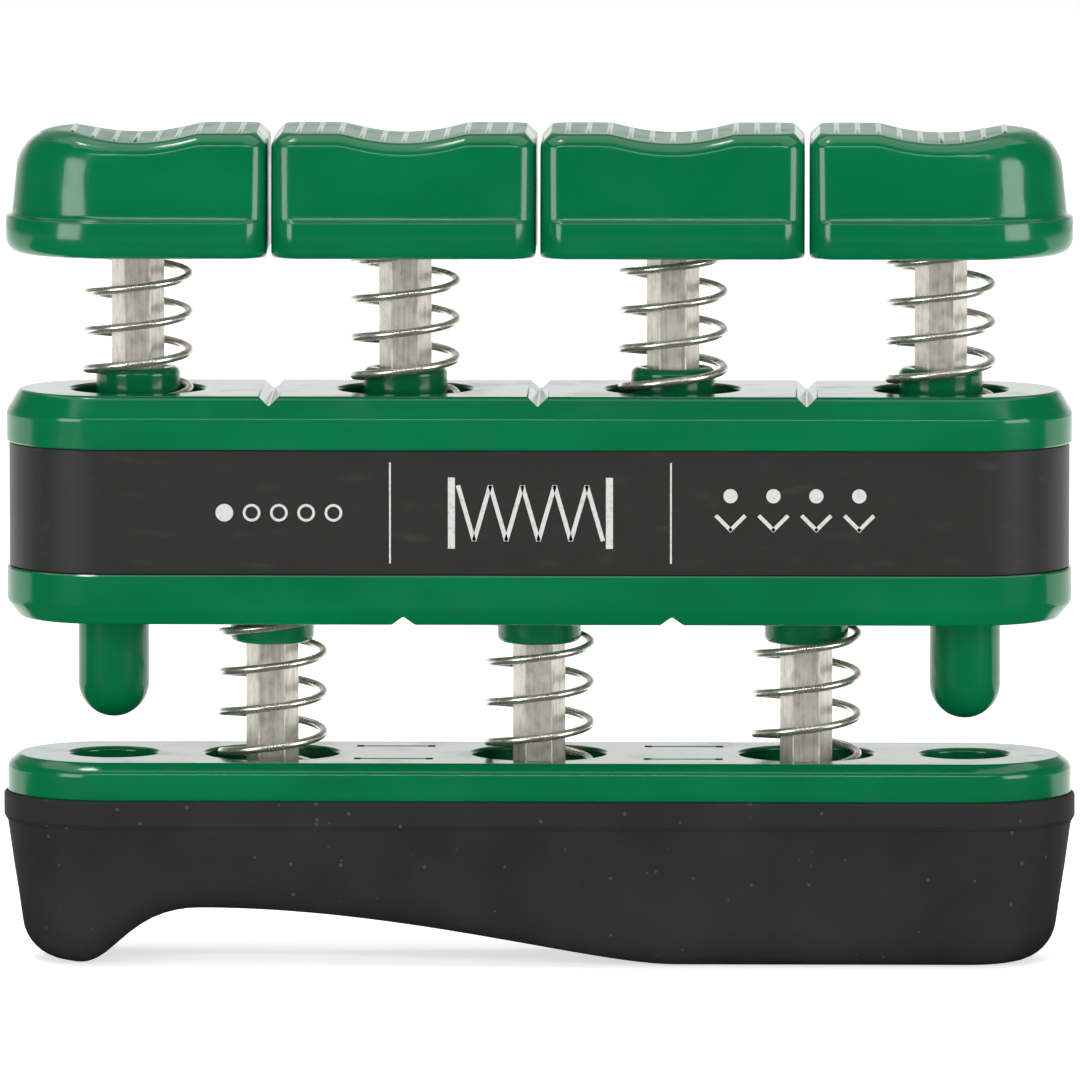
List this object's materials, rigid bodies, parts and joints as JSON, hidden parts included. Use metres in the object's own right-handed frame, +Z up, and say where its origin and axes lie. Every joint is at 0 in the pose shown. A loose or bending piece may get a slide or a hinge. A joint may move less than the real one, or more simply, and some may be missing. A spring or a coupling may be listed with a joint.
{
  "type": "finger exerciser",
  "caption": "Hand and finger exerciser: sprung finger buttons on hexagonal shafts over a housing that slides on a rubber-soled palm bar.",
  "frame": {"origin": "on the surface that the palm grip rests on, under the middle of the object", "axes": "+X along the row of finger buttons, away from the palm arch; -Y to the front; +Z up, towards the buttons"},
  "size_m": [0.083, 0.0166, 0.0646],
  "materials": {
    "green_plastic": "glossy moulded, green",
    "grip_rubber": "matt moulded rubber, black",
    "band_vinyl": "satin vinyl band, black",
    "shaft_steel": "drawn hexagonal bar",
    "spring_wire": "bright plated wire",
    "clip_steel": "oiled spring steel"
  },
  "bodies": {
    "base": {"palm_grip": "grip_rubber", "base_plate": "green_plastic", "base_shaft_1": "shaft_steel", "base_clip_1": "clip_steel", "base_spring_1": "spring_wire", "base_shaft_2": "shaft_steel", "base_clip_2": "clip_steel", "base_spring_2": "spring_wire", "base_shaft_3": "shaft_steel", "base_clip_3": "clip_steel", "base_spring_3": "spring_wire"},
    "housing": {"lower_housing": "green_plastic", "upper_housing": "green_plastic", "label_band": "band_vinyl", "finger_spring_1": "spring_wire", "finger_spring_2": "spring_wire", "finger_spring_3": "spring_wire", "finger_spring_4": "spring_wire"},
    "finger_1": {"finger_button_1": "green_plastic", "finger_shaft_1": "shaft_steel", "finger_clip_1": "clip_steel"},
    "finger_2": {"finger_button_2": "green_plastic", "finger_shaft_2": "shaft_steel", "finger_clip_2": "clip_steel"},
    "finger_3": {"finger_button_3": "green_plastic", "finger_shaft_3": "shaft_steel", "finger_clip_3": "clip_steel"},
    "finger_4": {"finger_button_4": "green_plastic", "finger_shaft_4": "shaft_steel", "finger_clip_4": "clip_steel"}
  },
  "joints": [
    {"name": "housing_slide", "type": "slide", "parent": "base", "child": "housing", "axis": [0, 0, -1], "range_m": [0, 0.00995], "stiffness_N_per_m": 1560, "springref_m": -0.003, "deforming": ["base_spring_1", "base_spring_2", "base_spring_3"]},
    {"name": "finger_slide_1", "type": "slide", "parent": "housing", "child": "finger_1", "axis": [0, 0, -1], "range_m": [0, 0.00985], "stiffness_N_per_m": 520, "springref_m": -0.003, "deforming": ["finger_spring_1"]},
    {"name": "finger_slide_2", "type": "slide", "parent": "housing", "child": "finger_2", "axis": [0, 0, -1], "range_m": [0, 0.00985], "stiffness_N_per_m": 520, "springref_m": -0.003, "deforming": ["finger_spring_2"]},
    {"name": "finger_slide_3", "type": "slide", "parent": "housing", "child": "finger_3", "axis": [0, 0, -1], "range_m": [0, 0.00985], "stiffness_N_per_m": 520, "springref_m": -0.003, "deforming": ["finger_spring_3"]},
    {"name": "finger_slide_4", "type": "slide", "parent": "housing", "child": "finger_4", "axis": [0, 0, -1], "range_m": [0, 0.00985], "stiffness_N_per_m": 520, "springref_m": -0.003, "deforming": ["finger_spring_4"]}
  ]
}
